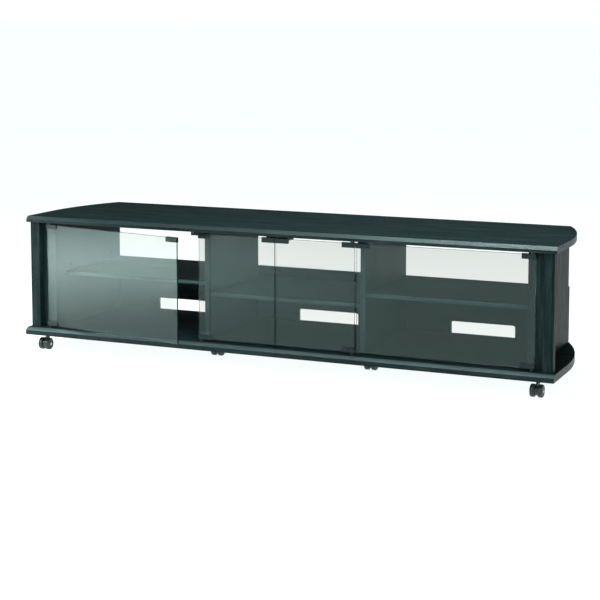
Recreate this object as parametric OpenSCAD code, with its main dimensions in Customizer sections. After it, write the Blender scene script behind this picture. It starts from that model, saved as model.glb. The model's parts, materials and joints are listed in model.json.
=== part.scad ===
// Media cabinet: long low television stand with four frameless glass doors.
// Units are millimetres. +X is right and the doors face -Y, with +Z up.
// Origin: on the floor, under the centre of the bottom board.

/* [Overall size] */
// Width over the top and bottom boards
body_w = 1660; // [1300:5:1800]
// Depth from the nose of the bottom board to the rear edges
body_d = 452; // [420:1:500]
// Height from the floor to the top surface
body_h = 413; // [380:1:480]
// Height of the casters under the bottom board
caster_h = 48; // [46:1:56]

/* [Boards] */
// Thickness of the top board
top_t = 18; // [15:1:25]
// Thickness of the bottom board
base_t = 21; // [18:1:30]
// Width of both boards along their rear edges
rear_w = 1516; // [1480:2:1560]
// Distance the top board nose sits back from the bottom board nose
top_setback = 13; // [0:1:25]
// Distance from the front where the board ends begin to curve in
arc_start = 154; // [120:1:220]
// Radius of the two front corners in plan
corner_r = 2; // [2:1:12]
// Distance of the flat top surface's front edge behind the bottom board nose
deck_setback = 23; // [14:1:30]
// Height of the sloped nose on the top board
top_nose_h = 9.5; // [5:0.5:12]
// Height of the sloped nose on the bottom board
base_nose_h = 7.5; // [5:0.5:12]
// Depth of the sloped nose on the bottom board
base_nose_d = 14; // [8:0.5:23]

/* [Carcass] */
// Thickness of the side panels and dividers
panel_t = 15; // [12:1:18]
// Distance between the inner faces of the side panels
inner_w = 1488; // [1400:2:1600]
// Width of the middle compartment
centre_w = 482; // [440:2:520]
// Distance of the panel front edges behind the bottom board nose
panel_front = 93; // [80:1:110]
// Distance of the panel rear edges from the board rear edges
panel_rear = 18; // [14:1:30]
// Width of each front pillar
pillar_w = 78; // [70:1:90]
// Width of the raised moulding on each pillar
moulding_w = 30; // [20:1:36]
// Thickness of the raised moulding
moulding_t = 20; // [16:1:24]
// Distance of the moulding face behind the bottom board nose
moulding_front = 23; // [23:1:30]
// Radius of the moulding face
moulding_r = 45; // [30:1:80]
// Radius of the decorative groove in the moulding
groove_r = 1.6; // [1:0.1:2.5]

/* [Back panel] */
// Thickness of the lower back panel
back_t = 12; // [6:1:15]
// Height of the top edge of the back panel above the floor
back_top = 236; // [180:1:280]
// Width of each cable notch
notch_w = 200; // [120:5:300]
// Height of each cable notch
notch_h = 39; // [25:1:60]
// Corner radius of each cable notch
notch_r = 7; // [3:1:15]

/* [Shelves] */
// Thickness of each shelf
shelf_t = 12; // [10:1:18]
// Height of the lowest shelf pin centre above the floor
pin_z = 190; // [150:1:220]
// Spacing between shelf pin heights
pin_pitch = 32; // [25:1:40]
// Diameter of the shelf pins
pin_d = 5; // [4:1:7]
// Depth of the shelf pin holes
pin_hole = 6.5; // [5:0.5:7]
// Distance of the shelf front edges behind the panel front edges
shelf_setback = 6; // [2:1:40]
// Side clearance of each shelf
shelf_gap = 1; // [0.5:0.5:3]

/* [Doors] */
// Thickness of the glass
glass_t = 5; // [4:0.5:6]
// Distance of the outer glass faces behind the bottom board nose
door_front = 32.5; // [28:0.5:40]
// Height of the glass bottom edges above the floor
door_z0 = 76; // [70:0.5:90]
// Height of the glass top edges above the floor
door_z1 = 387.5; // [360:0.5:392]
// Distance from the cabinet centre to the outer edge of the end doors
door_outer = 768; // [750:1:780]
// Gap between the two middle doors
door_gap = 3; // [2:0.5:5]
// Gap between a middle door and the end door beside it
door_split = 4; // [3:0.5:6]
// Distance of the hinge axis from the door edge
pivot_in = 8; // [6:0.5:15]
// Width of the door clamps
clamp_w = 40; // [25:1:50]
// Height of the door clamps
clamp_h = 14.5; // [10:0.5:20]
// Wall thickness of the door clamps
clamp_t = 2.5; // [1.5:0.5:4]
// Diameter of the hinge pins
hinge_pin_d = 5; // [4:0.5:6]
// Opening angle of the left end door
left_door_open = 12; // [0:1:90]

/* [Latches] */
// Width of the touch latch body
latch_w = 28; // [20:1:34]
// Depth of the touch latch body
latch_d = 44; // [30:1:46]
// Height of the touch latch body
latch_h = 15; // [12:0.5:20]
// Diameter of the latch plunger
plunger_d = 6; // [4:0.5:8]
// Travel of the latch plunger
plunger_travel = 3; // [2:0.5:6]

/* [Casters] */
// Diameter of the caster wheels
wheel_d = 36; // [34:1:40]
// Width of one caster wheel
wheel_w = 13.8; // [10:0.1:16]
// Width of the caster body between the wheels
web_w = 7; // [5:0.5:10]
// Distance from the swivel axis to the axle
trail = 12; // [8:1:16]
// Distance of the end casters from the cabinet centre
caster_front_x = 777; // [740:1:790]
// Distance of the front swivel axes behind the bottom board nose
caster_front_in = 43; // [38:1:60]
// Distance of the rear casters from the cabinet centre
caster_rear_x = 700; // [640:1:720]
// Distance of the rear swivel axes from the rear edges
caster_rear_in = 48; // [40:1:70]
// Distance of the middle swivel axes behind the bottom board nose
caster_mid_in = 173; // [120:1:240]

/* [Hidden] */
$fn = 48;
front_y = -body_d / 2;
rear_y = body_d / 2;
half_w = body_w / 2;
base_z0 = caster_h;
base_z1 = caster_h + base_t;
top_z1 = body_h;
top_z0 = body_h - top_t;
deck_y = front_y + deck_setback;
top_front_y = front_y + top_setback;
arc_y = front_y + arc_start;
arc_in = half_w - rear_w / 2;
arc_run = rear_y - arc_y;
arc_r = (arc_run * arc_run + arc_in * arc_in) / (2 * arc_in);
arc_cx = half_w - arc_r;
arc_fn = 360;
cut = 1;

inner_x = inner_w / 2;
side_x = inner_x + panel_t;
div_x0 = centre_w / 2;
div_x1 = div_x0 + panel_t;
div_cx = (div_x0 + div_x1) / 2;
panel_y0 = front_y + panel_front;
panel_y1 = rear_y - panel_rear;
inner_h = top_z0 - base_z1;

moulding_y = front_y + moulding_front;
rebate_step = 3;
rebate_y = moulding_y + moulding_t + rebate_step;
pillar_x1 = inner_x + pillar_w;
moulding_x0 = pillar_x1 - moulding_w;
moulding_lap = 12;
core_x1 = moulding_x0 + moulding_lap;
groove_in = 4.5;
groove_x = pillar_x1 - groove_in;
moulding_cx = (moulding_x0 + pillar_x1) / 2;

back_y1 = panel_y1 + back_t;
bay_cx = (div_x1 + inner_x) / 2;

shelf_y0 = panel_y0 + shelf_setback;
shelf_rear_gap = 2;
shelf_y1 = panel_y1 - shelf_rear_gap;
pin_r = pin_d / 2;
pin_front_in = 35;
pin_rear_in = 56;
pin_front_y = panel_y0 + pin_front_in;
pin_rear_y = panel_y1 - pin_rear_in;
pin_rows = 3;
pin_len = 15;
side_shelf_row = 1;
centre_shelf_row = 0;

glass_y0 = front_y + door_front;
glass_y1 = glass_y0 + glass_t;
glass_cy = (glass_y0 + glass_y1) / 2;
mid_x0 = door_gap / 2;
mid_x1 = div_cx - door_split / 2;
end_x0 = mid_x1 + door_split;
end_pivot = door_outer - pivot_in;
mid_pivot = mid_x1 - pivot_in;
clamp_lip = 1;
clamp_y0 = glass_y0 - clamp_t;
clamp_y1 = glass_y1 + clamp_t;
clamp_cap = 1.5;
clamp_top = door_z1 + clamp_cap;
clamp_bot = door_z0 - clamp_cap;
run_gap = 0.4;
pin_clear = 0.1;
bush_d = 9;
flange_d = 12;
bush_depth = 7;
pin_end_gap = 1.5;
setscrew_d = 6;
setscrew_h = 1;
setscrew_at = [0.3, 0.75];

latch_gap = 6;
latch_y0 = clamp_y1 + latch_gap;
latch_z0 = top_z0 - latch_h;
plunger_rise = 5;
plunger_z = latch_z0 + plunger_rise;
plunger_bore = plunger_d + 0.16;
plunger_tip_d = plunger_d + 2;
plunger_tip_t = 2;
plunger_y0 = clamp_y1 + run_gap;
plunger_len = 24;
pocket_end_gap = 1.6;
latch_pocket = plunger_y0 + plunger_len + plunger_travel + pocket_end_gap - latch_y0;
latch_end_x = end_x0 + latch_w / 2;
latch_inset = 4;
latch_mid_x = mid_x0 + latch_inset + latch_w / 2;
latch_screw_dx = 9;
latch_screw_in = 34;
latch_screw_y = latch_y0 + latch_screw_in;
latch_screw_hole = 9;
latch_slot_w = 6;
latch_slot_d = 6;
latch_head_pocket = 3;
screw_d = 3;
screw_head_d = 6;

wheel_r = wheel_d / 2;
wheel_round = 3;
axle_d = 5;
wheel_bore = axle_d + 0.1;
wheel_gap = 0.4;
wheel_in = web_w / 2 + wheel_gap;
wheel_out = wheel_in + wheel_w;
cap_d = 9;
cap_t = 1.2;
plate_s = 38;
plate_t = 2;
plate_z0 = base_z0 - plate_t;
boss_d = 16;
boss_h = 3;
boss_z0 = plate_z0 - boss_h;
stem_d = 7;
neck_d = 12;
neck_z0 = wheel_d + 1;
web_d = wheel_d - 10;
stem_z1 = base_z0 - 1.2;
socket_z1 = base_z0 - 0.6;
neck_z1 = boss_z0 - run_gap;
plate_hole = 14;
caster_screw_len = 14;
screw_head_t = 1.6;
rim_w = 4.5;
dish_t = 1;
cap_land = 2;
front_cy = front_y + caster_front_in;
mid_cy = front_y + caster_mid_in;
rear_cy = rear_y - caster_rear_in;

wood = [0.13, 0.15, 0.15];
glass_tint = [0.45, 0.55, 0.56, 0.45];
black = [0.06, 0.06, 0.07];
steel = [0.62, 0.63, 0.64];
nylon = [0.85, 0.85, 0.82];

caster_xy = [
  [-caster_front_x, front_cy], [caster_front_x, front_cy],
  [-div_cx, mid_cy], [div_cx, mid_cy],
  [-caster_rear_x, rear_cy], [caster_rear_x, rear_cy]
];

// Which sub-part to draw, or all of them

// A box between two corners
module box(x0, x1, y0, y1, z0, z1) {
  translate([x0, y0, z0])
    cube([x1 - x0, y1 - y0, z1 - z0]);
}

// A round bar along Z between two heights
module bar_z(x, y, z0, z1, d) {
  translate([x, y, z0])
    cylinder(d = d, h = z1 - z0);
}

// A round bar along X between two positions
module bar_x(x0, x1, y, z, d) {
  translate([x0, y, z])
    rotate([0, 90, 0])
      cylinder(d = d, h = x1 - x0);
}

// A round bar along Y between two positions
module bar_y(x, y0, y1, z, d) {
  translate([x, y0, z])
    rotate([-90, 0, 0])
      cylinder(d = d, h = y1 - y0);
}

// Waste outside the curved rear end of a board, right-hand side
module end_waste(z0, z1) {
  difference() {
    box(half_w - 2 * arc_in, half_w + cut, arc_y, rear_y + cut, z0 - cut, z1 + cut);
    translate([arc_cx, arc_y, z0 - 2 * cut])
      cylinder(r = arc_r, h = z1 - z0 + 4 * cut, $fn = arc_fn);
  }
}

// Waste outside a rounded front corner, right-hand side
module corner_waste(y0, z0, z1) {
  difference() {
    box(half_w - corner_r, half_w + cut, y0 - cut, y0 + corner_r, z0 - cut, z1 + cut);
    bar_z(half_w - corner_r, y0 + corner_r, z0 - 2 * cut, z1 + 2 * cut, 2 * corner_r);
  }
}

// A board blank with a sloped nose along the front
module board(y0, z0, z1, nose_h, nose_d) {
  difference() {
    box(-half_w, half_w, y0, rear_y, z0, z1);
    translate([-half_w - cut, 0, 0])
      rotate([90, 0, 90])
        linear_extrude(height = body_w + 2 * cut)
          polygon([
            [y0 - cut, z1 - nose_h], [y0, z1 - nose_h],
            [y0 + nose_d, z1], [y0 + nose_d, z1 + cut], [y0 - cut, z1 + cut]
          ]);
    for (s = [0, 1])
      mirror([s, 0, 0]) {
        end_waste(z0, z1);
        corner_waste(y0, z0, z1);
      }
  }
}

module top_board() {
  color(wood)
    difference() {
      board(top_front_y, top_z0, top_z1, top_nose_h, deck_y - top_front_y);
      for (s = [-1, 1])
        for (x = [end_pivot, mid_pivot])
          bar_z(s * x, glass_cy, top_z0 - cut, top_z0 + bush_depth, bush_d);
      for (s = [-1, 1])
        for (x = [latch_end_x, latch_mid_x])
          for (k = [-1, 1])
            bar_z(s * x + k * latch_screw_dx, latch_screw_y,
                  top_z0 - cut, top_z0 + latch_screw_hole, screw_d);
    }
}

module bottom_board() {
  color(wood)
    difference() {
      board(front_y, base_z0, base_z1, base_nose_h, base_nose_d);
      for (s = [-1, 1])
        for (x = [end_pivot, mid_pivot])
          bar_z(s * x, glass_cy, base_z1 - bush_depth, base_z1 + cut, bush_d);
      for (c = caster_xy)
        for (i = [-1, 1])
          for (j = [-1, 1])
            bar_z(c[0] + i * plate_hole, c[1] + j * plate_hole,
                  base_z0 - cut, base_z0 + caster_screw_len - plate_t, screw_d);
    }
}

// Shelf pin holes at one face, drilled along X from x0 to x1
module pin_holes(x0, x1) {
  for (y = [pin_front_y, pin_rear_y])
    for (k = [0 : pin_rows - 1])
      bar_x(x0, x1, y, pin_z + k * pin_pitch, pin_d);
}

module side_panel_right() {
  color(wood)
    difference() {
      box(inner_x, side_x, panel_y0, panel_y1, base_z1, top_z0);
      pin_holes(inner_x - cut, inner_x + pin_hole);
    }
}

module side_panel_left() {
  mirror([1, 0, 0])
    side_panel_right();
}

module divider_right() {
  color(wood)
    difference() {
      box(div_x0, div_x1, panel_y0, panel_y1, base_z1, top_z0);
      pin_holes(div_x0 - cut, div_x0 + pin_hole);
      pin_holes(div_x1 - pin_hole, div_x1 + cut);
    }
}

module divider_left() {
  mirror([1, 0, 0])
    divider_right();
}

// Front post: a plain core with a raised, grooved and rounded moulding
module front_pillar_right() {
  color(wood)
    union() {
      box(inner_x, core_x1, rebate_y, panel_y0, base_z1, top_z0);
      difference() {
        intersection() {
          box(moulding_x0, pillar_x1, moulding_y, moulding_y + moulding_t, base_z1, top_z0);
          translate([moulding_cx, moulding_y + moulding_r, base_z1])
            cylinder(r = moulding_r, h = inner_h, $fn = 180);
        }
        bar_z(groove_x, moulding_y + groove_r, base_z1 - cut, top_z0 + cut, 2 * groove_r);
      }
      box(moulding_x0, core_x1, moulding_y + moulding_t - cut, rebate_y + cut, base_z1, top_z0);
    }
}

module front_pillar_left() {
  mirror([1, 0, 0])
    front_pillar_right();
}

// Cable notch with two rounded top corners, centred on x
module notch(x) {
  z1 = base_z1 + notch_h;
  y0 = panel_y1 - cut;
  y1 = back_y1 + cut;
  box(x - notch_w / 2, x + notch_w / 2, y0, y1, base_z1 - cut, z1 - notch_r);
  box(x - notch_w / 2 + notch_r, x + notch_w / 2 - notch_r, y0, y1, base_z1 - cut, z1);
  for (k = [-1, 1])
    bar_y(x + k * (notch_w / 2 - notch_r), y0, y1, z1 - notch_r, 2 * notch_r);
}

module back_panel() {
  color(wood)
    difference() {
      box(-side_x, side_x, panel_y1, back_y1, base_z1, back_top);
      for (x = [-bay_cx, 0, bay_cx])
        notch(x);
    }
}

// Height of the underside of a shelf resting on pin row k
function shelf_z(k) = pin_z + k * pin_pitch + pin_r;

module shelf_right() {
  z = shelf_z(side_shelf_row);
  color(wood)
    box(div_x1 + shelf_gap, inner_x - shelf_gap, shelf_y0, shelf_y1, z, z + shelf_t);
}

module shelf_left() {
  mirror([1, 0, 0])
    shelf_right();
}

module shelf_centre() {
  z = shelf_z(centre_shelf_row);
  color(wood)
    box(-div_x0 + shelf_gap, div_x0 - shelf_gap, shelf_y0, shelf_y1, z, z + shelf_t);
}

// Shelf pins for one side of one shelf; d is the direction into the bay
module pin_pair(face_x, d, row) {
  x0 = d > 0 ? face_x - pin_hole : face_x + pin_hole - pin_len;
  for (y = [pin_front_y, pin_rear_y])
    bar_x(x0, x0 + pin_len, y, pin_z + row * pin_pitch, pin_d);
}

module shelf_pins() {
  color(steel) {
    pin_pair(-inner_x, 1, side_shelf_row);
    pin_pair(-div_x1, -1, side_shelf_row);
    pin_pair(-div_x0, 1, centre_shelf_row);
    pin_pair(div_x0, -1, centre_shelf_row);
    pin_pair(div_x1, 1, side_shelf_row);
    pin_pair(inner_x, -1, side_shelf_row);
  }
}

// Glass leaf between two X positions
module leaf(x0, x1) {
  color(glass_tint)
    box(x0, x1, glass_y0, glass_y1, door_z0, door_z1);
}

// U-shaped clamp folded over the top edge of a leaf
module top_clamp(x0, x1, lip) {
  difference() {
    box(x0, x1 + lip, clamp_y0, clamp_y1, clamp_top - clamp_h, clamp_top);
    box(x0 - cut, lip > 0 ? x1 : x1 + cut, glass_y0, glass_y1,
        clamp_top - clamp_h - cut, door_z1);
  }
}

// Two set screws on the rear cheek of a clamp
module set_screws(x0, x1, z) {
  for (k = setscrew_at)
    bar_y(x0 + k * (x1 - x0), clamp_y1 - cut, clamp_y1 + setscrew_h, z, setscrew_d);
}

// Upper and lower pivot clamps at the hinge edge x1, opening axis at xp
module hinge_pair(x1, xp) {
  x0 = x1 - clamp_w + clamp_lip;
  union() {
    top_clamp(x0, x1, clamp_lip);
    set_screws(x0, x1, clamp_top - clamp_h / 2 - 1);
    bar_z(xp, glass_cy, clamp_top - cut, top_z0 + bush_depth - pin_end_gap, hinge_pin_d);
  }
  union() {
    translate([0, 0, door_z0 + door_z1])
      mirror([0, 0, 1])
        top_clamp(x0, x1, clamp_lip);
    set_screws(x0, x1, clamp_bot + clamp_h / 2 + 1);
    bar_z(xp, glass_cy, base_z1 - bush_depth + pin_end_gap, clamp_bot + cut, hinge_pin_d);
  }
}

// Striker clamp at the free edge x0
module striker(x0) {
  top_clamp(x0, x0 + clamp_w, 0);
}

// Swings the left end door open about its pivot
module ajar() {
  translate([-end_pivot, glass_cy, 0])
    rotate([0, 0, -left_door_open])
      translate([end_pivot, -glass_cy, 0])
        children();
}

module door_4_glass() {
  leaf(end_x0, door_outer);
}

module door_4_hinges() {
  color(black)
    hinge_pair(door_outer, end_pivot);
}

module door_4_strike() {
  color(black)
    striker(end_x0);
}

module door_3_glass() {
  leaf(mid_x0, mid_x1);
}

module door_3_hinges() {
  color(black)
    hinge_pair(mid_x1, mid_pivot);
}

module door_3_strike() {
  color(black)
    striker(mid_x0);
}

module door_2_glass() {
  mirror([1, 0, 0])
    door_3_glass();
}

module door_2_hinges() {
  mirror([1, 0, 0])
    door_3_hinges();
}

module door_2_strike() {
  mirror([1, 0, 0])
    door_3_strike();
}

module door_1_glass() {
  ajar()
    mirror([1, 0, 0])
      door_4_glass();
}

module door_1_hinges() {
  ajar()
    mirror([1, 0, 0])
      door_4_hinges();
}

module door_1_strike() {
  ajar()
    mirror([1, 0, 0])
      door_4_strike();
}

// Flanged nylon bush; the flange faces down under the top board
module upper_bush(x) {
  difference() {
    union() {
      bar_z(x, glass_cy, clamp_top + run_gap, top_z0, flange_d);
      bar_z(x, glass_cy, top_z0 - cut, top_z0 + bush_depth, bush_d);
    }
    bar_z(x, glass_cy, clamp_top, top_z0 + bush_depth - 1, hinge_pin_d + pin_clear);
  }
}

module lower_bush(x) {
  difference() {
    union() {
      bar_z(x, glass_cy, base_z1, clamp_bot - run_gap, flange_d);
      bar_z(x, glass_cy, base_z1 - bush_depth, base_z1 + cut, bush_d);
    }
    bar_z(x, glass_cy, base_z1 - bush_depth + 1, clamp_bot, hinge_pin_d + pin_clear);
  }
}

module upper_bushes() {
  color(nylon)
    for (x = [-end_pivot, -mid_pivot, mid_pivot, end_pivot])
      upper_bush(x);
}

module lower_bushes() {
  color(nylon)
    for (x = [-end_pivot, -mid_pivot, mid_pivot, end_pivot])
      lower_bush(x);
}

// Touch latch housing screwed under the top board
module latch_body(x) {
  difference() {
    box(x - latch_w / 2, x + latch_w / 2, latch_y0, latch_y0 + latch_d, latch_z0, top_z0);
    bar_y(x, latch_y0 - cut, latch_y0 + latch_pocket, plunger_z, plunger_bore);
    for (k = [-1, 1]) {
      bar_z(x + k * latch_screw_dx, latch_screw_y, latch_z0 - cut, top_z0 + cut, screw_d);
      bar_z(x + k * latch_screw_dx, latch_screw_y,
            latch_z0 - cut, latch_z0 + latch_head_pocket, screw_head_d);
    }
    box(x - latch_slot_w / 2, x + latch_slot_w / 2, latch_y0 + latch_d - latch_slot_d,
        latch_y0 + latch_d + cut, latch_z0 - cut, latch_z0 + latch_slot_d);
  }
}

module latch_bodies() {
  color(black)
    for (x = [-latch_end_x, -latch_mid_x, latch_mid_x, latch_end_x])
      latch_body(x);
}

// One countersunk screw with its head in the latch body
module latch_screw(x) {
  union() {
    bar_z(x, latch_screw_y, latch_z0 + 1, latch_z0 + latch_head_pocket, screw_head_d);
    bar_z(x, latch_screw_y, latch_z0 + 2, top_z0 + latch_screw_hole - 1, screw_d);
  }
}

module latch_screws() {
  color(steel)
    for (x = [-latch_end_x, -latch_mid_x, latch_mid_x, latch_end_x])
      for (k = [-1, 1])
        latch_screw(x + k * latch_screw_dx);
}

// Plunger with a slightly larger magnet tip
module plunger(x) {
  color(black)
    union() {
      bar_y(x, plunger_y0, plunger_y0 + plunger_len, plunger_z, plunger_d);
      bar_y(x, plunger_y0, plunger_y0 + plunger_tip_t, plunger_z, plunger_tip_d);
    }
}

module latch_1_plunger() {
  plunger(-latch_end_x);
}

module latch_2_plunger() {
  plunger(-latch_mid_x);
}

module latch_3_plunger() {
  plunger(latch_mid_x);
}

module latch_4_plunger() {
  plunger(latch_end_x);
}

// Caster top plate with its swivel boss, stem axis at the origin
module caster_plate() {
  difference() {
    union() {
      box(-plate_s / 2, plate_s / 2, -plate_s / 2, plate_s / 2, plate_z0, base_z0);
      bar_z(0, 0, boss_z0, plate_z0 + cut, boss_d);
    }
    bar_z(0, 0, boss_z0 - cut, socket_z1, stem_d + pin_clear);
    for (i = [-1, 1])
      for (j = [-1, 1])
        bar_z(i * plate_hole, j * plate_hole, plate_z0 - cut, base_z0 + cut, screw_d);
  }
}

module caster_plates() {
  color(steel)
    for (c = caster_xy)
      translate([c[0], c[1], 0])
        caster_plate();
}

module caster_screws() {
  color(steel)
    for (c = caster_xy)
      for (i = [-1, 1])
        for (j = [-1, 1])
          translate([c[0] + i * plate_hole, c[1] + j * plate_hole, 0])
            union() {
              bar_z(0, 0, plate_z0 - screw_head_t, plate_z0, screw_head_d);
              bar_z(0, 0, plate_z0 - cut, plate_z0 + caster_screw_len - 1, screw_d);
            }
}

// Swivelling body: stem, neck and the web between the wheels
module caster_body(i) {
  c = caster_xy[i];
  color(black)
    translate([c[0], c[1], 0])
      difference() {
        union() {
          bar_z(0, 0, neck_z1 - cut, stem_z1, stem_d);
          bar_z(0, 0, neck_z0, neck_z1, neck_d);
          bar_x(-web_w / 2, web_w / 2, -trail, wheel_r, web_d);
          box(-web_w / 2, web_w / 2, -trail, neck_d / 2 - 1, wheel_r, neck_z0 + cut);
        }
        bar_x(-web_w, web_w, -trail, wheel_r, axle_d);
      }
}

// Axle with a round cap on each end
module caster_axle(i) {
  c = caster_xy[i];
  color(nylon)
    translate([c[0], c[1] - trail, wheel_r])
      union() {
        bar_x(-wheel_out - wheel_gap - cut, wheel_out + wheel_gap + cut, 0, 0, axle_d);
        for (s = [-1, 1])
          bar_x(s * (wheel_out + wheel_gap + cap_t / 2) - cap_t / 2,
                s * (wheel_out + wheel_gap + cap_t / 2) + cap_t / 2, 0, 0, cap_d);
      }
}

// Wheel with rounded tread edges and a dished outer face; s is its side
module caster_wheel(i, s) {
  c = caster_xy[i];
  color(black)
    translate([c[0] + s * wheel_in, c[1] - trail, wheel_r])
      rotate([0, s * 90, 0])
        difference() {
          union() {
            translate([0, 0, wheel_round])
              cylinder(r = wheel_r, h = wheel_w - 2 * wheel_round);
            cylinder(r = wheel_r - wheel_round, h = wheel_w);
            for (z = [wheel_round, wheel_w - wheel_round])
              translate([0, 0, z])
                rotate_extrude()
                  translate([wheel_r - wheel_round, 0])
                    circle(r = wheel_round);
          }
          translate([0, 0, -cut])
            cylinder(d = wheel_bore, h = wheel_w + 2 * cut);
          translate([0, 0, wheel_w - dish_t])
            difference() {
              cylinder(r = wheel_r - rim_w, h = dish_t + cut);
              translate([0, 0, -cut])
                cylinder(d = cap_d + cap_land, h = dish_t + 3 * cut);
            }
        }
}

module caster_1_body() {
  caster_body(0);
}

module caster_1_axle() {
  caster_axle(0);
}

module caster_1_wheel_l() {
  caster_wheel(0, -1);
}

module caster_1_wheel_r() {
  caster_wheel(0, 1);
}

module caster_2_body() {
  caster_body(1);
}

module caster_2_axle() {
  caster_axle(1);
}

module caster_2_wheel_l() {
  caster_wheel(1, -1);
}

module caster_2_wheel_r() {
  caster_wheel(1, 1);
}

module caster_3_body() {
  caster_body(2);
}

module caster_3_axle() {
  caster_axle(2);
}

module caster_3_wheel_l() {
  caster_wheel(2, -1);
}

module caster_3_wheel_r() {
  caster_wheel(2, 1);
}

module caster_4_body() {
  caster_body(3);
}

module caster_4_axle() {
  caster_axle(3);
}

module caster_4_wheel_l() {
  caster_wheel(3, -1);
}

module caster_4_wheel_r() {
  caster_wheel(3, 1);
}

module caster_5_body() {
  caster_body(4);
}

module caster_5_axle() {
  caster_axle(4);
}

module caster_5_wheel_l() {
  caster_wheel(4, -1);
}

module caster_5_wheel_r() {
  caster_wheel(4, 1);
}

module caster_6_body() {
  caster_body(5);
}

module caster_6_axle() {
  caster_axle(5);
}

module caster_6_wheel_l() {
  caster_wheel(5, -1);
}

module caster_6_wheel_r() {
  caster_wheel(5, 1);
}

top_board();
bottom_board();
side_panel_left();
side_panel_right();
front_pillar_left();
front_pillar_right();
divider_left();
divider_right();
back_panel();
shelf_left();
shelf_centre();
shelf_right();
shelf_pins();
door_1_glass();
door_1_hinges();
door_1_strike();
door_2_glass();
door_2_hinges();
door_2_strike();
door_3_glass();
door_3_hinges();
door_3_strike();
door_4_glass();
door_4_hinges();
door_4_strike();
upper_bushes();
lower_bushes();
latch_bodies();
latch_screws();
latch_1_plunger();
latch_2_plunger();
latch_3_plunger();
latch_4_plunger();
caster_plates();
caster_screws();
caster_1_body();
caster_1_axle();
caster_1_wheel_l();
caster_1_wheel_r();
caster_2_body();
caster_2_axle();
caster_2_wheel_l();
caster_2_wheel_r();
caster_3_body();
caster_3_axle();
caster_3_wheel_l();
caster_3_wheel_r();
caster_4_body();
caster_4_axle();
caster_4_wheel_l();
caster_4_wheel_r();
caster_5_body();
caster_5_axle();
caster_5_wheel_l();
caster_5_wheel_r();
caster_6_body();
caster_6_axle();
caster_6_wheel_l();
caster_6_wheel_r();
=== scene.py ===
import json
import math

import bmesh
import bpy
from mathutils import Matrix, Vector


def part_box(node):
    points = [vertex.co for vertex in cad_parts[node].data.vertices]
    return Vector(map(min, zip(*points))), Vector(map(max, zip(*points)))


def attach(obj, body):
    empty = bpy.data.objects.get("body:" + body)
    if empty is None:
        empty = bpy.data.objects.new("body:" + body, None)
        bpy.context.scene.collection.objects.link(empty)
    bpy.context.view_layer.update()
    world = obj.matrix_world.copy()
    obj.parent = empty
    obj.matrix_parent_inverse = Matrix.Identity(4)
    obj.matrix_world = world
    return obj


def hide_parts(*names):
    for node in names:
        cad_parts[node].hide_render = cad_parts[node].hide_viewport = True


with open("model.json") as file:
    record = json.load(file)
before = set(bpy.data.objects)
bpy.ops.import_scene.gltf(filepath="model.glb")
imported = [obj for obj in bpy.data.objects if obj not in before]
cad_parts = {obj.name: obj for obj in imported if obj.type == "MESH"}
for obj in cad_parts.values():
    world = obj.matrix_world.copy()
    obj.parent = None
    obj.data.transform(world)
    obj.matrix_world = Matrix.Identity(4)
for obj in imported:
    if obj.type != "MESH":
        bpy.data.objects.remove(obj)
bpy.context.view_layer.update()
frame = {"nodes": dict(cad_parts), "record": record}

joints = {j["name"]: j for j in frame["record"]["behaviour"]["joints"]}

MM = 0.001
ROUND = 48  # sides of a small turned part
CABINET = "cabinet"

# ---------------------------------------------------------------- camera
LENS = 94.73  # millimetres, on a 36 mm sensor
YAW = 23.6508  # degrees
PITCH = -5.8774
PLACE = (1.86672, -4.27627, 1.01846)
cam_data = bpy.data.cameras.new("camera")
cam_data.lens = LENS
cam_data.sensor_width = 36
cam_data.shift_y = -0.20
cam_data.clip_end = 2000
camera = bpy.data.objects.new("camera", cam_data)
camera.location = PLACE
camera.rotation_euler = (math.radians(90 + PITCH), 0, math.radians(YAW))
bpy.context.scene.collection.objects.link(camera)
bpy.context.scene.camera = camera


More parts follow.
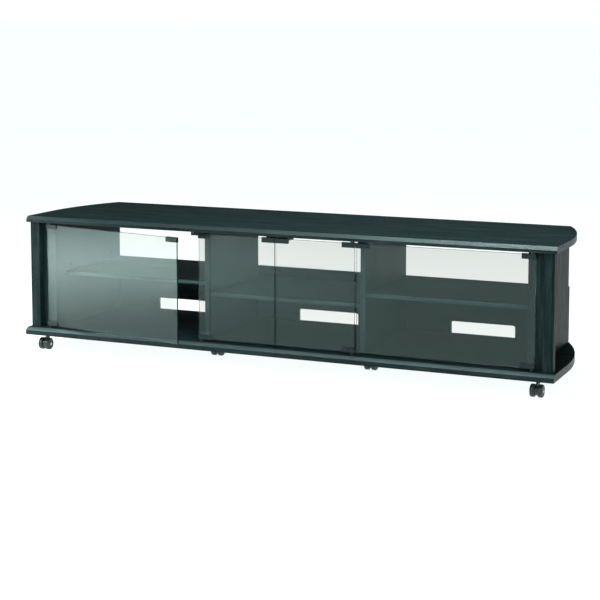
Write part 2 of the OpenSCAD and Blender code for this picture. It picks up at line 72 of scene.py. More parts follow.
# ---------------------------------------------------------------- materials
class Shader:
    """A material being built: put() adds a node, feeding or setting its inputs by name."""

    def __init__(self, name):
        self.material = bpy.data.materials.new(name)
        self.material.use_nodes = True
        self.tree = self.material.node_tree
        self.tree.nodes.clear()

    def put(self, kind, *ordered, **named):
        node = self.tree.nodes.new("ShaderNode" + kind)
        for key in [k for k in named if k.startswith("_")]:
            setattr(node, key[1:], named.pop(key))
        sockets = {s.identifier: s for s in node.inputs} | {s.name: s for s in reversed(node.inputs)}
        pairs = list(zip(node.inputs, ordered))
        pairs += [(sockets[k.replace("_", " ")], v) for k, v in named.items()]
        for socket, value in pairs:
            if isinstance(value, bpy.types.NodeSocket):
                self.tree.links.new(value, socket)
            elif value is not None:
                socket.default_value = value
        return node

    def maths(self, operation, *values):
        return self.put("Math", *values, _operation=operation).outputs[0]

    def mix(self, share, a, b):
        node = self.put("Mix", _data_type="RGBA")
        for socket, value in ((0, share), (6, a), (7, b)):
            if isinstance(value, bpy.types.NodeSocket):
                self.tree.links.new(value, node.inputs[socket])
            else:
                node.inputs[socket].default_value = value
        return node.outputs[2]

    def ramp(self, value, stops):
        node = self.put("ValToRGB", value)
        ramp = node.color_ramp
        while len(ramp.elements) < len(stops):
            ramp.elements.new(0.5)
        for element, (place, colour) in zip(ramp.elements, stops):
            element.position = place
            element.color = colour if len(colour) == 4 else (*colour, 1)
        return node.outputs[0]

    def share(self, value, low, high):
        """How far value is from low to high, clamped to 0..1."""
        return self.put("MapRange", value, low, high, 0.0, 1.0).outputs[0]

    def object_space(self, scale=(1, 1, 1), offset=(0, 0, 0)):
        at = self.put("TexCoord").outputs["Object"]
        return self.put("Mapping", at, Scale=scale, Location=offset).outputs[0]

    def noise(self, vector, scale, detail=3.0, rough=0.5, output=0):
        node = self.put("TexNoise", Vector=vector, Scale=scale, Detail=detail, Roughness=rough)
        return node.outputs[output]

    def end(self, shader):
        self.put("OutputMaterial", shader)
        return self.material


def rgba(r, g, b):
    return (r, g, b, 1.0)


DARK = (0.0030, 0.0080, 0.0083)
MIDDLE = (0.0080, 0.0166, 0.0170)
LIGHT = (0.0200, 0.0345, 0.0350)


def wood(name, along, gloss=0.46, spec=0.25, seed=0.0, tone=1.0):
    """Black open-grain foil; along is the axis that the grain follows, tone scales its colours; a tone
    other than 1 paints a lighter or darker copy that stands in for light or shade.
    """
    s = Shader(name)
    dark, middle, light = (rgba(*(c * tone for c in colour)) for colour in (DARK, MIDDLE, LIGHT))
    streaked = [0.055 if axis == along else 1.0 for axis in "XYZ"]
    pored = [0.03 if axis == along else 1.0 for axis in "XYZ"]
    plain = s.object_space(offset=(seed, seed * 1.7, seed * 0.6))
    sway = s.noise(plain, 2.6, 2.0, 0.5, output=1)
    sway = s.put("VectorMath", sway, (0.5, 0.5, 0.5), _operation="SUBTRACT").outputs[0]
    sway = s.put("VectorMath", sway, (0.05, 0.05, 0.05), _operation="MULTIPLY").outputs[0]
    bent = s.put("VectorMath", plain, sway, _operation="ADD").outputs[0]
    grain = s.put("Mapping", bent, Scale=streaked).outputs[0]
    broad = s.noise(grain, 85.0, 5.0, 0.62)
    fine = s.noise(grain, 420.0, 3.0, 0.6)
    pores = s.noise(s.put("Mapping", bent, Scale=pored).outputs[0], 900.0, 1.0, 0.5)
    cloud = s.noise(plain, 3.1, 2.0, 0.5)
    pore = s.share(pores, 0.56, 0.68)
    streak = s.maths("MULTIPLY_ADD", broad, 0.72, s.maths("MULTIPLY", fine, 0.28))
    colour = s.ramp(streak, [(0.36, dark), (0.50, middle), (0.66, light)])
    colour = s.mix(s.maths("MULTIPLY", pore, 0.55), colour, dark)
    colour = s.mix(s.share(cloud, 0.45, 0.95), colour, middle)
    rough = s.put("MapRange", streak, 0.35, 0.65, gloss + 0.06, gloss - 0.05).outputs[0]
    rough = s.maths("MULTIPLY_ADD", pore, 0.12, rough)
    height = s.maths("MULTIPLY_ADD", pore, -0.8, s.maths("MULTIPLY", streak, 0.9))
    bump = s.put("Bump", Strength=0.42, Distance=0.00035, Height=height).outputs[0]
    return s.end(s.put("BsdfPrincipled", Base_Color=colour, Roughness=rough, Normal=bump,
                       IOR=1.46, Specular_IOR_Level=spec, Specular_Tint=rgba(0.82, 1.0, 1.0)).outputs[0])


def moulded(name, colour, high, gloss, grain=900.0, depth=0.00006, spec=0.5):
    """Moulded or painted black part: fine orange peel, slight mottling, worn gloss."""
    s = Shader(name)
    at = s.object_space()
    mottle = s.noise(at, 55.0, 4.0, 0.6)
    skin = s.noise(at, grain, 2.0, 0.5)
    shade = s.mix(s.share(mottle, 0.3, 0.75), colour, high)
    rough = s.put("MapRange", mottle, 0.3, 0.7, gloss - 0.05, gloss + 0.08).outputs[0]
    bump = s.put("Bump", Strength=0.5, Distance=depth, Height=skin).outputs[0]
    return s.end(s.put("BsdfPrincipled", Base_Color=shade, Roughness=rough, Normal=bump,
                       Specular_IOR_Level=spec, Specular_Tint=rgba(0.72, 1.0, 1.0)).outputs[0])


def plated(name):
    """Bright zinc plate: spangle in colour and gloss, fine scratches."""
    s = Shader(name)
    at = s.object_space()
    spangle = s.put("TexVoronoi", Vector=at, Scale=420.0).outputs["Color"]
    spangle = s.put("RGBToBW", spangle).outputs[0]
    scratch = s.noise(s.object_space(scale=(1, 14, 1)), 500.0, 3.0, 0.6)
    colour = s.mix(spangle, rgba(0.52, 0.53, 0.54), rgba(0.70, 0.70, 0.69))
    rough = s.maths("MULTIPLY_ADD", scratch, 0.18, s.maths("MULTIPLY_ADD", spangle, 0.08, 0.18))
    bump = s.put("Bump", Strength=0.3, Distance=0.00003, Height=scratch).outputs[0]
    return s.end(s.put("BsdfPrincipled", Base_Color=colour, Roughness=rough, Normal=bump,
                       Metallic=1.0).outputs[0])


def glass(name, tint, deep, rough):
    """Tinted float glass. Lamps reach through it, as they do through a thin pane."""
    s = Shader(name)
    at = s.object_space()
    drift = s.noise(at, 1.7, 2.0, 0.5)
    colour = s.mix(s.share(drift, 0.3, 0.7), tint, deep)
    wave = s.noise(s.object_space(scale=(1, 1, 0.35)), 7.0, 1.0, 0.4)
    bump = s.put("Bump", Strength=0.05, Distance=0.0004, Height=wave).outputs[0]
    body = s.put("BsdfPrincipled", Base_Color=colour, Roughness=rough, Normal=bump, IOR=1.36,
                 Transmission_Weight=1.0, Specular_Tint=rgba(0.71, 1.0, 0.97)).outputs[0]
    clear = s.put("BsdfTransparent", colour).outputs[0]
    lamp = s.put("LightPath").outputs["Is Shadow Ray"]
    return s.end(s.put("MixShader", lamp, body, clear).outputs[0])


def rubber(name):
    """Soft tread with a little floor dust low in its texture."""
    s = Shader(name)
    at = s.object_space()
    dust = s.noise(at, 160.0, 5.0, 0.7)
    skin = s.noise(at, 1400.0, 2.0, 0.5)
    colour = s.mix(s.share(dust, 0.52, 0.80), rgba(0.010, 0.012, 0.012), rgba(0.032, 0.034, 0.033))
    rough = s.put("MapRange", dust, 0.3, 0.8, 0.34, 0.58).outputs[0]
    bump = s.put("Bump", Strength=0.4, Distance=0.00005, Height=skin).outputs[0]
    return s.end(s.put("BsdfPrincipled", Base_Color=colour, Roughness=rough, Normal=bump,
                       Specular_IOR_Level=0.5).outputs[0])


# The flat faces of both boards take a darker copy of the wood, tone 0.78, as painted shade on the top.
WOOD_TOP_PAINTED_SHADE = wood("wood_top_painted_shade", "X", gloss=0.54, spec=0.05, tone=0.78)
WOOD_EDGE = wood("wood_edge_band", "X", gloss=0.40, spec=0.15, seed=0.37)
WOOD_NOSE = wood("wood_sloped_nose", "X", gloss=0.54, spec=0.58, seed=0.52)
# The bottom board's sloped nose takes a lighter copy of the wood, tone 1.9, as a painted highlight.
WOOD_BASE_NOSE_PAINTED_HIGHLIGHT = wood("wood_base_nose_painted_highlight", "X", gloss=0.60, spec=0.90, seed=0.29, tone=1.9)
WOOD_Z = wood("wood_upright", "Z", gloss=0.46, spec=0.09, seed=0.81)
WOOD_INSIDE = wood("wood_inside", "Z", gloss=0.52, spec=0.16, seed=1.33)
# The front bands of shelves and dividers are lighter copies of the wood, tone 3.2 and 2.6, painted light
# on the front edges.
WOOD_BAND_X_PAINTED_LIGHT = wood("wood_front_band_painted_light", "X", gloss=0.42, spec=0.30, seed=0.17, tone=3.2)
WOOD_BAND_Z_PAINTED_LIGHT = wood("wood_upright_band_painted_light", "Z", gloss=0.42, spec=0.30, seed=0.63, tone=2.6)
WOOD_SHELF = wood("wood_shelf", "X", gloss=0.50, spec=0.20, seed=2.1)
GLASS = glass("smoked_glass", rgba(0.705, 0.698, 0.684), rgba(0.690, 0.683, 0.670), 0.0)
GLASS_EDGE = glass("glass_edge", rgba(0.16, 0.27, 0.25), rgba(0.12, 0.22, 0.20), 0.12)
BLACK_METAL = moulded("black_metal", rgba(0.006, 0.010, 0.010), rgba(0.012, 0.017, 0.017), 0.30, spec=0.28)
BLACK_PLASTIC = moulded("black_plastic", rgba(0.012, 0.015, 0.015), rgba(0.022, 0.026, 0.026), 0.45,
                        grain=1500.0, depth=0.00008)
BLACK_NYLON = moulded("black_nylon", rgba(0.014, 0.016, 0.016), rgba(0.026, 0.029, 0.029), 0.40)
CASTER_NYLON = moulded("caster_nylon", rgba(0.009, 0.012, 0.012), rgba(0.017, 0.021, 0.021), 0.20,
                       grain=500.0, depth=0.00003, spec=0.55)
TREAD = rubber("caster_tread")
STEEL = plated("zinc_plate")


# ---------------------------------------------------------------- mesh helpers
def show(name, bm, body, materials, replaces=(), sharp=32.0, even=True):
    """Turns a bmesh into a shown piece that rides on a body."""
    bmesh.ops.recalc_face_normals(bm, faces=bm.faces)
    mesh = bpy.data.meshes.new(name)
    bm.to_mesh(mesh)
    bm.free()
    for material in materials if isinstance(materials, (list, tuple)) else [materials]:
        mesh.materials.append(material)
    mesh.shade_smooth()
    mesh.set_sharp_from_angle(angle=math.radians(sharp))
    piece = bpy.data.objects.new(name, mesh)
    bpy.context.scene.collection.objects.link(piece)
    if even:
        weighted = piece.modifiers.new("even_faces", "WEIGHTED_NORMAL")
        weighted.keep_sharp = True
    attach(piece, body)
    if replaces:
        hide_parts(*replaces)
    return piece


def ease(bm, width, segments=2, angle=30.0):
    """Rounds every edge sharper than angle."""
    limit = math.radians(angle)
    edges = [e for e in bm.edges if e.is_manifold and e.calc_face_angle(0.0) > limit]
    bmesh.ops.bevel(bm, geom=edges, offset=width, offset_type="OFFSET", segments=segments,
                    profile=0.5, affect="EDGES", clamp_overlap=True)


def from_cad(node, width, segments=2, angle=30.0):
    """The node's solid, welded, with its triangles merged back into faces and its edges eased."""
    bm = bmesh.new()
    bm.from_mesh(frame["nodes"][node].data)
    bmesh.ops.remove_doubles(bm, verts=bm.verts, dist=2e-6)
    bmesh.ops.dissolve_limit(bm, angle_limit=math.radians(0.06), verts=bm.verts, edges=bm.edges)
    ease(bm, width, segments, angle)
    return bm


def loft(bm, rings, start=True, end=True, index=0):
    """Skins rings that hold the same number of points; start and end close it with a face."""
    made = [[bm.verts.new(p) for p in ring] for ring in rings]
    count = len(made[0])
    for a, b in zip(made, made[1:]):
        for i in range(count):
            j = (i + 1) % count
            bm.faces.new((a[i], a[j], b[j], b[i])).material_index = index
    if start:
        bm.faces.new(reversed(made[0])).material_index = index
    if end:
        bm.faces.new(made[-1]).material_index = index
    return made


def middle(low, high):
    return (low + high) / 2


def basis(axis):
    """Two directions square to axis, right-handed with it."""
    w = Vector(axis).normalized()
    u = Vector((0, 0, 1)) if abs(w.z) < 0.9 else Vector((1, 0, 0))
    v = w.cross(u).normalized()
    return v.cross(w), v, w


def turned(bm, at, axis, profile, sides=ROUND, index=0):
    """A turned solid: profile is (radius, height) pairs along axis from at, in millimetres.
    A radius may be a function of the angle. The first and the last ring are closed with a face."""
    u, v, w = basis(axis)
    rings = []
    for radius, height in profile:
        ring = []
        for i in range(sides):
            a = 2 * math.pi * i / sides
            r = radius(a) if callable(radius) else radius
            ring.append(Vector(at) + (u * math.cos(a) + v * math.sin(a)) * r * MM + w * height * MM)
        rings.append(ring)
    loft(bm, rings, index=index)


def polygon(sides, across, turn=0.0):
    """Radius of a regular polygon by angle, across its flats."""
    step = 2 * math.pi / sides

    def radius(a):
        return across / 2 / math.cos((a + turn) % step - step / 2)
    return radius


def cross(width, reach):
    """Radius of a four-armed screwdriver recess by angle."""
    def radius(a):
        a = (a + math.pi / 4) % (math.pi / 2) - math.pi / 4
        return min(reach / math.cos(a), width / 2 / max(abs(math.sin(a)), 1e-3))
    return radius


def block(bm, low, high, width=0.0, segments=2, index=0):
    """A box between two corners, in metres, with eased edges."""
    made = bmesh.ops.create_cube(bm, size=1.0)["verts"]
    low, high = Vector(low), Vector(high)
    for vert in made:
        vert.co = middle(low, high) + Vector(c * d for c, d in zip(vert.co, high - low))
    faces = {f for v in made for f in v.link_faces}
    for face in faces:
        face.material_index = index
    if width:
        edges = list({e for f in faces for e in f.edges})
        bmesh.ops.bevel(bm, geom=edges, offset=width, offset_type="OFFSET", segments=segments,
                        profile=0.5, affect="EDGES", clamp_overlap=True)


def rounded(points, radii, steps=5):
    """A 2-D outline with its corners rounded to radii, where 0 leaves a corner sharp."""
    out = []
    for i, point in enumerate(points):
        p, a, b = Vector(point), Vector(points[i - 1]), Vector(points[(i + 1) % len(points)])
        r = radii[i]
        if r <= 0:
            out.append(p)
            continue
        da, db = (a - p).normalized(), (b - p).normalized()
        half = da.angle(db) / 2
        reach = r / math.tan(half)
        start, stop = p + da * reach, p + db * reach
        centre = p + (da + db).normalized() * (r / math.sin(half))
        a0 = math.atan2(*(start - centre).yx)
        turn = (math.atan2(*(stop - centre).yx) - a0 + math.pi) % (2 * math.pi) - math.pi
        for k in range(steps + 1):
            t = a0 + turn * k / steps
            out.append(centre + Vector((math.cos(t), math.sin(t))) * r)
    return out


def mirrored(bm):
    for vert in bm.verts:
        vert.co.x = -vert.co.x
    bmesh.ops.reverse_faces(bm, faces=bm.faces)


def painted_light_front(bm):
    """Gives the faces that look out of the front the second material, a lighter copy of the wood painted
    on as light falling on the front edges.
    """
    for face in bm.faces:
        face.material_index = 1 if face.normal.y < -0.7 else 0
    return bm


# ---------------------------------------------------------------- carcass
PANEL_EASE = 0.5 * MM

# Flat faces get the darker copy of the wood as painted shade; the bottom board's sloped nose gets the
# lighter copy as a painted highlight.
for node, nose in (("top_board", WOOD_NOSE), ("bottom_board", WOOD_BASE_NOSE_PAINTED_HIGHLIGHT)):
    board = from_cad(node, 0.9 * MM, 3)
    for face in board.faces:
        sloped = 0.3 < face.normal.z < 0.95 and face.normal.y < -0.2
        face.material_index = 2 if sloped else 0 if abs(face.normal.z) > 0.98 else 1
    show(f"{node}_eased", board, CABINET, [WOOD_TOP_PAINTED_SHADE, WOOD_EDGE, nose], [node])

for side in ("left", "right"):
    panel, divider, pillar = f"side_panel_{side}", f"divider_{side}", f"front_pillar_{side}"
    show(f"{panel}_eased", from_cad(panel, PANEL_EASE), CABINET, WOOD_Z, [panel])
    show(f"{divider}_eased", painted_light_front(from_cad(divider, PANEL_EASE)), CABINET,
         [WOOD_INSIDE, WOOD_BAND_Z_PAINTED_LIGHT], [divider])
    show(f"{pillar}_eased", from_cad(pillar, PANEL_EASE, angle=40.0), CABINET, WOOD_Z, [pillar])
show("back_panel_eased", from_cad("back_panel", 0.4 * MM), CABINET, WOOD_SHELF, ["back_panel"])
for bay in ("left", "centre", "right"):
    shelf = bmesh.new()
    block(shelf, *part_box(f"shelf_{bay}"), 1.1 * MM, 4)
    bmesh.ops.recalc_face_normals(shelf, faces=shelf.faces)
    show(f"shelf_{bay}_board", painted_light_front(shelf), CABINET, [WOOD_SHELF, WOOD_BAND_X_PAINTED_LIGHT],
         [f"shelf_{bay}"])


def clusters(node):
    """Boxes of the separate solids of a node, in a steady order."""
    bm = bmesh.new()
    bm.from_mesh(frame["nodes"][node].data)
    bmesh.ops.remove_doubles(bm, verts=bm.verts, dist=2e-6)
    seen, found = set(), []
    bm.verts.ensure_lookup_table()
    for first in bm.verts:
        if first in seen:
            continue
        seen.add(first)
        stack, group = [first], []
        while stack:
            vert = stack.pop()
            group.append(vert.co.copy())
            for edge in vert.link_edges:
                other = edge.other_vert(vert)
                if other not in seen:
                    seen.add(other)
                    stack.append(other)
        low = Vector(min(p[i] for p in group) for i in range(3))
        high = Vector(max(p[i] for p in group) for i in range(3))
        found.append((low, high))
    bm.free()
    return sorted(found, key=lambda box: tuple(round(c, 5) for c in middle(*box)))


pins = bmesh.new()
for low, high in clusters("shelf_pins"):
    length, radius = (high.x - low.x) / MM, (high.z - low.z) / 2 / MM
    centre = middle(low, high)
    turned(pins, (low.x, centre.y, centre.z), (1, 0, 0), [
        (radius - 0.6, 0), (radius - 0.15, 0.2), (radius, 0.7),
        (radius, length - 0.7), (radius - 0.15, length - 0.2), (radius - 0.6, length)], 24)
show("shelf_pins_turned", pins, CABINET, STEEL, ["shelf_pins"])


# ---------------------------------------------------------------- doors
def door_matrix(number):
    """Where door number stands at rest, from its closed place."""
    joint = joints[f"door_{number}_swing"]
    shut = math.radians(joint["range_deg"][0])
    pivot = Vector(joint["pos_m"])
    swing = Matrix.Rotation(-shut * joint["axis"][2], 4, "Z")
    return Matrix.Translation(pivot) @ swing @ Matrix.Translation(-pivot)


CLAMP_DEPTH = 14.5 * MM  # from the tip over the glass edge
CLAMP_WALL = 2.5 * MM  # behind and in front of the glass
CLAMP_OVER = 1.5 * MM  # past the glass edge
CLAMP_LIP = 1.0 * MM  # closed end beside the glass
CLAMP_EASE = 0.35 * MM
SOFT, MILD, FINE = 1.1 * MM, 0.5 * MM, 0.3 * MM  # corner radii of the clamps
SETSCREW_AT = (0.3, 0.75)  # shares of a hinge clamp's width
SETSCREW_IN = 8.25 * MM  # from a clamp's tip
PIN_RADIUS = 2.5
PIN_CHAMFER = 0.5


def clamp(bm, x0, x1, lip, glass_low, glass_high, box_low, box_high, up):
    """U-shaped clamp over a glass edge. up is 1 at the top edge and -1 at the bottom."""
    y0, y1 = box_low.y, box_high.y
    g0, g1 = glass_low.y, glass_high.y
    tip = box_high.z if up > 0 else box_low.z
    base = tip - up * CLAMP_DEPTH
    seat = glass_high.z if up > 0 else glass_low.z
    outside = [(y0, base), (y0, tip), (y1, tip), (y1, base)]
    outline = rounded(outside + [(g1, base), (g1, seat), (g0, seat), (g0, base)],
                      [MILD, SOFT, SOFT, MILD, FINE, 0, 0, FINE])
    loft(bm, [[Vector((x, *p)) for p in outline] for x in (x0, x0 + (x1 - x0) * 0.5, x1)])
    if lip > 0:
        rim = rounded(outside, [MILD, SOFT, SOFT, MILD])
        loft(bm, [[Vector((x, *p)) for p in rim] for x in (x1, x1 + lip)])


def set_screw(bm, x, y, z, reach):
    """Socket set screw seen from behind: a collar, the screw and its hexagon socket."""
    turned(bm, (x, y, z), (0, 1, 0), [
        (3.0, -0.6), (3.0, reach - 0.25), (2.75, reach), (2.1, reach), (1.95, reach - 0.35),
        (1.8, reach - 0.35), (polygon(6, 2.6), reach - 0.35), (polygon(6, 2.5), reach - 1.3)], 24)


def hinge_pin(bm, at, up, length):
    """Pivot pin out of a clamp's tip, with a chamfered end."""
    turned(bm, at, (0, 0, up), [(PIN_RADIUS, -0.5), (PIN_RADIUS, length - PIN_CHAMFER),
                                (PIN_RADIUS - PIN_CHAMFER, length)], 32)


def door_parts(number):
    """Glass, pivot clamps and striker of a door, built shut on the right-hand side, then put in place."""
    model = 4 if number in (1, 4) else 3
    left = number < 3
    body = f"door_{number}"
    g_low, g_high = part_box(f"door_{model}_glass")
    h_low, h_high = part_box(f"door_{model}_hinges")
    s_low, s_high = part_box(f"door_{model}_strike")
    back, front = g_high.y + CLAMP_WALL, g_low.y - CLAMP_WALL
    c_high = Vector((h_high.x, back, s_high.z))
    c_low = Vector((h_low.x, front, g_low.z - CLAMP_OVER))
    place = door_matrix(number)

    def finish(name, bm, materials, replaces=()):
        if left:
            mirrored(bm)
        bmesh.ops.transform(bm, matrix=place, verts=bm.verts)
        return show(name, bm, body, materials, replaces)

    leaf = bmesh.new()
    block(leaf, g_low, g_high, 0.7 * MM, 2)
    bmesh.ops.recalc_face_normals(leaf, faces=leaf.faces)
    for face in leaf.faces:
        face.material_index = 0 if abs(face.normal.y) > 0.99 else 1
    finish(f"{body}_leaf", leaf, [GLASS, GLASS_EDGE], [f"{body}_glass"])

    metal = bmesh.new()
    x0, x1 = h_low.x, h_high.x - CLAMP_LIP
    for up in (1, -1):
        clamp(metal, x0, x1, CLAMP_LIP, g_low, g_high, c_low, c_high, up)
    ease(metal, CLAMP_EASE, 2, 50.0)
    for k in SETSCREW_AT:
        x = x0 + k * (x1 - x0)
        set_screw(metal, x, back, c_high.z - SETSCREW_IN, 1.0)
        set_screw(metal, x, back, c_low.z + SETSCREW_IN, 1.0)
    pivot = Vector(joints[f"door_{model}_swing"]["pos_m"])
    hinge_pin(metal, (pivot.x, pivot.y, c_high.z), 1, (h_high.z - c_high.z) / MM)
    hinge_pin(metal, (pivot.x, pivot.y, c_low.z), -1, (c_low.z - h_low.z) / MM)
    finish(f"{body}_pivot_clamps", metal, BLACK_METAL, [f"{body}_hinges"])

    strike = bmesh.new()
    clamp(strike, s_low.x, s_high.x, 0, g_low, g_high, c_low, c_high, 1)
    ease(strike, CLAMP_EASE, 2, 50.0)
    finish(f"{body}_strike_clamp", strike, BLACK_METAL, [f"{body}_strike"])


for number in (1, 2, 3, 4):
    door_parts(number)


# ---------------------------------------------------------------- bushes
for node, up in (("upper_bushes", 1), ("lower_bushes", -1)):
    bush = bmesh.new()
    for low, high in clusters(node):
        centre = middle(low, high)
        mouth = low.z if up > 0 else high.z
        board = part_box("top_board")[0].z if up > 0 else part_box("bottom_board")[1].z
        flange = abs(board - mouth) / MM
        depth = (high.z - low.z) / MM
        turned(bush, (centre.x, centre.y, mouth), (0, 0, up), [
            (2.55, depth - 1.0), (2.55, 0.35), (2.9, 0.0), (5.55, 0.0), (5.9, 0.2), (6.0, 0.55),
            (6.0, flange), (4.5, flange), (4.5, depth - 0.5), (4.0, depth)], 40)
    show(f"{node}_turned", bush, CABINET, BLACK_NYLON, [node])


# ---------------------------------------------------------------- touch latches
latch = from_cad("latch_bodies", 0.6 * MM, 3)
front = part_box("latch_bodies")[0].y
for number in (1, 2, 3, 4):
    node = f"latch_{number}_plunger"
    low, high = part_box(node)
    centre = middle(low, high)
    # The bezel round the plunger stays behind its head at full travel.
    turned(latch, (centre.x, front, centre.z), (0, -1, 0), [
        (3.25, -0.4), (4.3, -0.4), (4.3, 0.3), (4.1, 0.45), (3.45, 0.45), (3.25, 0.3)])
    length = (high.y - low.y) / MM
    tip = (high.z - low.z) / 2 / MM
    plunger = bmesh.new()
    turned(plunger, (centre.x, low.y, centre.z), (0, 1, 0), [
        (0.8, 0.0), (tip - 1.0, 0.0), (tip - 0.3, 0.25), (tip, 0.8), (tip, 1.6), (tip - 0.2, 1.9),
        (3.0, 2.0), (3.0, length - 0.5), (2.5, length)])
    show(f"latch_{number}_push_rod", plunger, f"latch_{number}", BLACK_NYLON, [node])
show("latch_bodies_moulded", latch, CABINET, BLACK_PLASTIC, ["latch_bodies"])


# ---------------------------------------------------------------- screws
def cross_screws(node, head):
    """Every screw of a node: a cross-recessed head, from the recess to the shank, and a pointed shank."""
    screws = bmesh.new()
    for low, high in clusters(node):
        centre = middle(low, high)
        length = (high.z - low.z) / MM
        point = [(1.5, length - 2.0), (0.3, length)]
        turned(screws, (centre.x, centre.y, low.z), (0, 0, 1), head + point)
    show(f"{node}_cross", screws, CABINET, STEEL, [node])


cross_screws("latch_screws", [
    (cross(0.7, 1.1), 1.2), (cross(0.8, 1.5), 0.0), (1.9, 0.0), (2.7, 0.15), (3.0, 0.5), (3.0, 0.9),
    (1.5, 2.0)])
cross_screws("caster_screws", [
    (cross(0.7, 1.0), 1.1), (cross(0.8, 1.5), 0.05), (1.9, 0.0), (2.5, 0.25), (2.9, 0.8), (3.0, 1.4),
    (3.0, 1.6), (1.5, 1.6)])


# ---------------------------------------------------------------- casters
SPOKES = 6
WHEEL_SIDES = 60
RIB_HALF = 0.55 * MM
AXLE_HEAD = 4.5  # radius of the cap at each end of an axle
AXLE_RADIUS = 2.5


def wheel(bm, at, out, wide):
    """Caster wheel, wide mm from its inner face: rounded tread, rim, dished web with ribs, and hub."""
    shoulder = [(14.6, 0.0), (15.7, 0.25), (16.8, 0.95), (17.6, 2.0), (17.95, 3.2), (18.0, 4.4)]
    tread = shoulder + [(r, wide - h) for r, h in reversed(shoulder)]
    inner = [(2.55, 0.9), (2.55, 0.3), (3.1, 0.0), (14.6, 0.0)]
    face = [(14.6, wide), (13.6, wide), (13.2, wide - 0.3), (12.9, wide - 0.9), (12.3, wide - 1.1),
            (7.4, wide - 0.75), (6.2, wide - 0.35), (5.8, wide - 0.1), (5.3, wide), (2.9, wide),
            (2.55, wide - 0.3), (2.55, 0.9)]
    profile = inner + tread[1:] + face[1:]
    u, v, w = basis((out, 0, 0))
    rings = []
    for r, h in profile:
        angles = [2 * math.pi * i / WHEEL_SIDES for i in range(WHEEL_SIDES)]
        ring = [at + ((u * math.cos(a) + v * math.sin(a)) * r + w * h) * MM for a in angles]
        rings.append([bm.verts.new(p) for p in ring])
    for k, (a, b) in enumerate(zip(rings, rings[1:])):
        is_tread = len(inner) - 1 <= k < len(inner) + len(tread) - 2
        for i in range(WHEEL_SIDES):
            j = (i + 1) % WHEEL_SIDES
            if a[i].co != b[i].co:
                bm.faces.new((a[i], a[j], b[j], b[i])).material_index = 1 if is_tread else 0
    bmesh.ops.remove_doubles(bm, verts=bm.verts, dist=1e-6)
    upright = Matrix.Translation(at) @ Matrix((u, v, w)).transposed().to_4x4()
    for k in range(SPOKES):
        rib = bmesh.new()
        block(rib, (6.0 * MM, -RIB_HALF, (wide - 1.6) * MM), (12.8 * MM, RIB_HALF, (wide - 0.25) * MM),
              0.25 * MM, 2)
        spin = Matrix.Rotation(2 * math.pi * k / SPOKES, 4, "Z")
        bmesh.ops.transform(rib, matrix=upright @ spin, verts=rib.verts)
        mesh = bpy.data.meshes.new("rib")
        rib.to_mesh(mesh)
        rib.free()
        bm.from_mesh(mesh)
        bpy.data.meshes.remove(mesh)


show("caster_plates_pressed", from_cad("caster_plates", 0.45 * MM), CABINET, STEEL,
     ["caster_plates"])
for number in range(1, 7):
    body = f"caster_{number}"
    axle = Vector(joints[f"wheel_{number}_l_roll"]["pos_m"])
    for side, out in (("l", -1), ("r", 1)):
        node = f"{body}_wheel_{side}"
        low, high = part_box(node)
        inner_x = high.x if out < 0 else low.x
        tyre = bmesh.new()
        wheel(tyre, Vector((inner_x, axle.y, axle.z)), out, (high.x - low.x) / MM)
        show(f"{node}_moulded", tyre, f"wheel_{number}_{side}", [CASTER_NYLON, TREAD],
             [node])
    low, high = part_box(f"{body}_axle")
    length = (high.x - low.x) / MM
    cap = [(0.8, 0.0), (AXLE_HEAD - 1.6, 0.08), (AXLE_HEAD - 0.6, 0.3), (AXLE_HEAD, 0.8), (AXLE_HEAD, 1.1),
           (AXLE_HEAD - 0.2, 1.2), (AXLE_RADIUS, 1.2)]
    rod = bmesh.new()
    turned(rod, (low.x, axle.y, axle.z), (1, 0, 0), cap + [(r, length - h) for r, h in reversed(cap)], 40)
    show(f"{body}_axle_capped", rod, body, STEEL, [f"{body}_axle"])
    fork = from_cad(f"{body}_body", 0.5 * MM, 2, 40.0)
    show(f"{body}_fork", fork, body, CASTER_NYLON, [f"{body}_body"])


# ---------------------------------------------------------------- studio
def floor_material():
    """Pale, faintly glowing sheet that is clear from below, so that the underside can be seen."""
    s = Shader("studio_floor")
    fleck = s.noise(s.object_space(), 6.0, 3.0, 0.5)
    colour = s.mix(fleck, rgba(0.24, 0.245, 0.24), rgba(0.26, 0.265, 0.26))
    matt = s.put("BsdfDiffuse", colour).outputs[0]
    glow = s.put("Emission", rgba(1.0, 1.05, 1.04), 0.93).outputs[0]
    lit = s.put("AddShader", matt, glow).outputs[0]
    clear = s.put("BsdfTransparent").outputs[0]
    from_below = s.put("NewGeometry").outputs["Backfacing"]
    return s.end(s.put("MixShader", from_below, lit, clear).outputs[0])


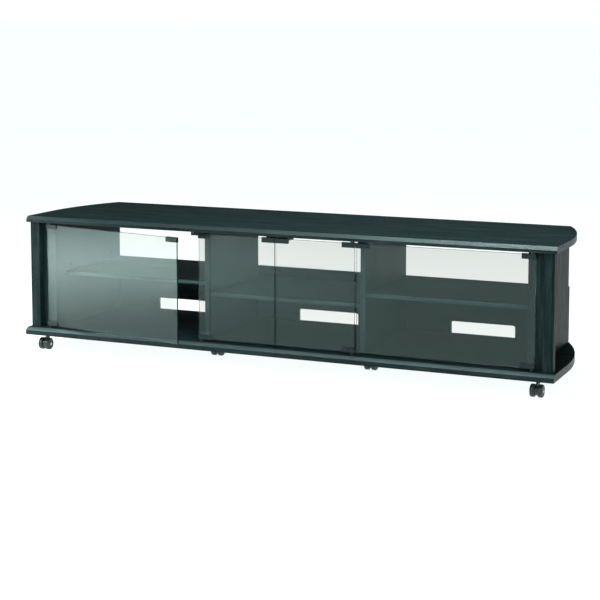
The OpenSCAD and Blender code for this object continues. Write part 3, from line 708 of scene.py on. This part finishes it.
FLOOR_REACH = 400.0
sheet = bmesh.new()
bmesh.ops.create_grid(sheet, x_segments=1, y_segments=1, size=FLOOR_REACH)
floor_mesh = bpy.data.meshes.new("studio_floor")
sheet.to_mesh(floor_mesh)
sheet.free()
floor_mesh.materials.append(floor_material())
floor = bpy.data.objects.new("studio_floor", floor_mesh)
bpy.context.scene.collection.objects.link(floor)


def lamp(name, place, aim, size, watts, colour=(0.93, 1.0, 0.99), spread=180.0):
    data = bpy.data.lights.new(name, "AREA")
    data.shape = "RECTANGLE"
    data.size, data.size_y = size
    data.energy = watts
    data.color = colour
    data.spread = math.radians(spread)
    light = bpy.data.objects.new(name, data)
    light.location = place
    light.rotation_euler = (Vector(aim) - Vector(place)).to_track_quat("-Z", "Y").to_euler()
    light.visible_camera = False
    bpy.context.scene.collection.objects.link(light)


lamp("overhead_strip", (0.42, -0.40, 2.2), (0.50, -0.38, 0.4), (1.7, 0.45), 84.0)
lamp("side_softbox", (3.2, -0.9, 1.2), (0.8, 0.0, 0.25), (1.2, 1.4), 6.0)
lamp("rim_softbox", (1.55, 2.3, 0.55), (0.83, 0.0, 0.35), (1.0, 0.6), 1.3, (0.70, 1.0, 1.0))
lamp("front_fill", (0.9, -3.4, 2.2), (0.1, 0.0, 0.15), (2.2, 1.6), 70.0, (0.85, 1.0, 0.99))
lamp("left_floor_wash", (-2.35, -1.35, 1.4), (-2.25, -1.25, 0.0), (2.0, 1.6), 340.0, spread=105.0)

world = bpy.data.worlds.new("studio_world")
world.use_nodes = True
bpy.context.scene.world = world
sky = world.node_tree
sky_light = sky.nodes["Background"]
sky_light.inputs["Color"].default_value = rgba(0.80, 1.0, 0.98)
sky_light.inputs["Strength"].default_value = 0.16
sky_seen = sky.nodes.new("ShaderNodeBackground")
sky_seen.inputs["Color"].default_value = rgba(1.0, 1.0, 1.0)
sky_mix = sky.nodes.new("ShaderNodeMixShader")
sky.links.new(sky.nodes.new("ShaderNodeLightPath").outputs["Is Camera Ray"], sky_mix.inputs[0])
sky.links.new(sky_light.outputs[0], sky_mix.inputs[1])
sky.links.new(sky_seen.outputs[0], sky_mix.inputs[2])
sky.links.new(sky_mix.outputs[0], sky.nodes["World Output"].inputs[0])

view = bpy.context.scene.view_settings
view.view_transform = "Standard"
view.look = "None"
view.exposure = 0.0
view.gamma = 1.0
